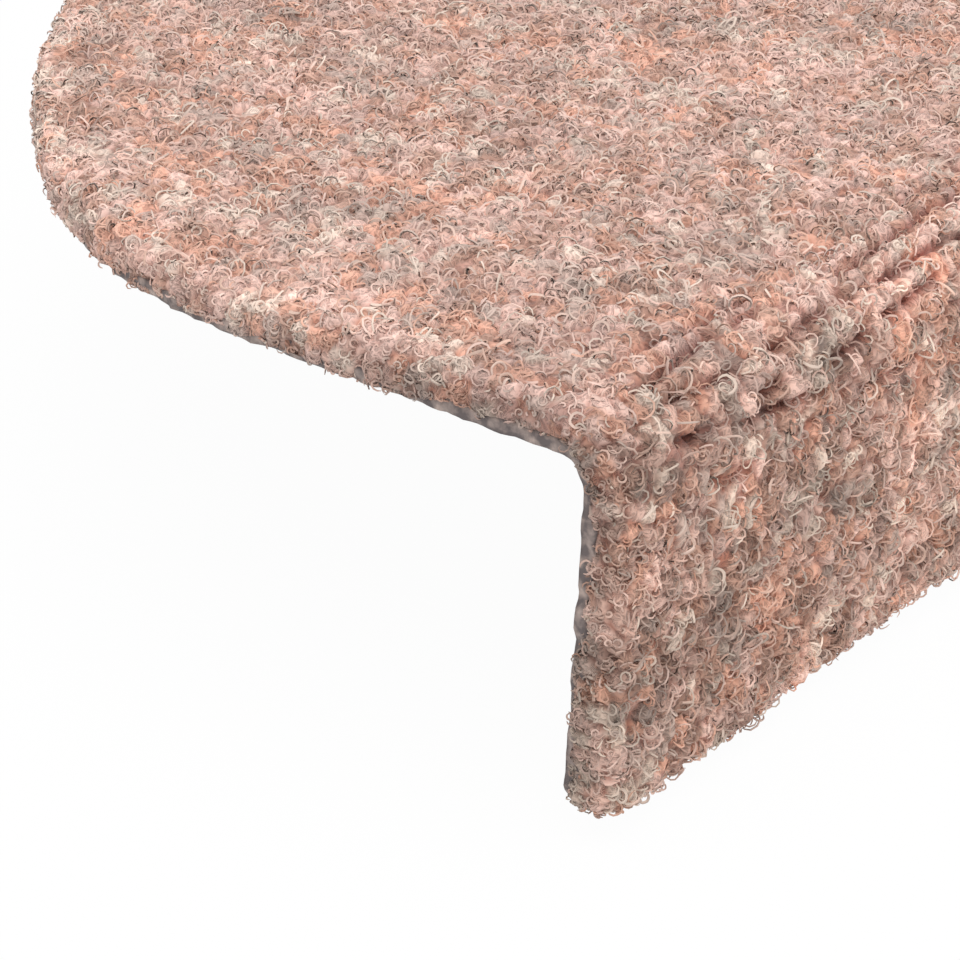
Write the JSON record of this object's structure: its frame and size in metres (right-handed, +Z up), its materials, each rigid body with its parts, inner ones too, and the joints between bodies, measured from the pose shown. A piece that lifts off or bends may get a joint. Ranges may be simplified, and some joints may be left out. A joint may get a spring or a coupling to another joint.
{
  "type": "stair tread mat",
  "caption": "Half-round anti-slip stair tread mat of needle felt on a grippy backing, bent over the stair edge into a short nosing flap.",
  "frame": {"origin": "the stair edge at the mat's mid length: where the plane of the tread's underside meets the line of the flap's inner face", "axes": "+X along the stair edge, +Y over the tread towards the riser behind, +Z up, away from the tread"},
  "size_m": [0.56, 0.1728, 0.0409],
  "materials": {
    "felt": "needle-punched heathered felt of curly beige, pink, rust, cream and grey fibres, matt",
    "backing": "dark grey anti-slip backing, matt, fine pebble grain"
  },
  "bodies": {
    "root": {"felt_pile": "felt", "anti_slip_backing": "backing"}
  },
  "joints": []
}
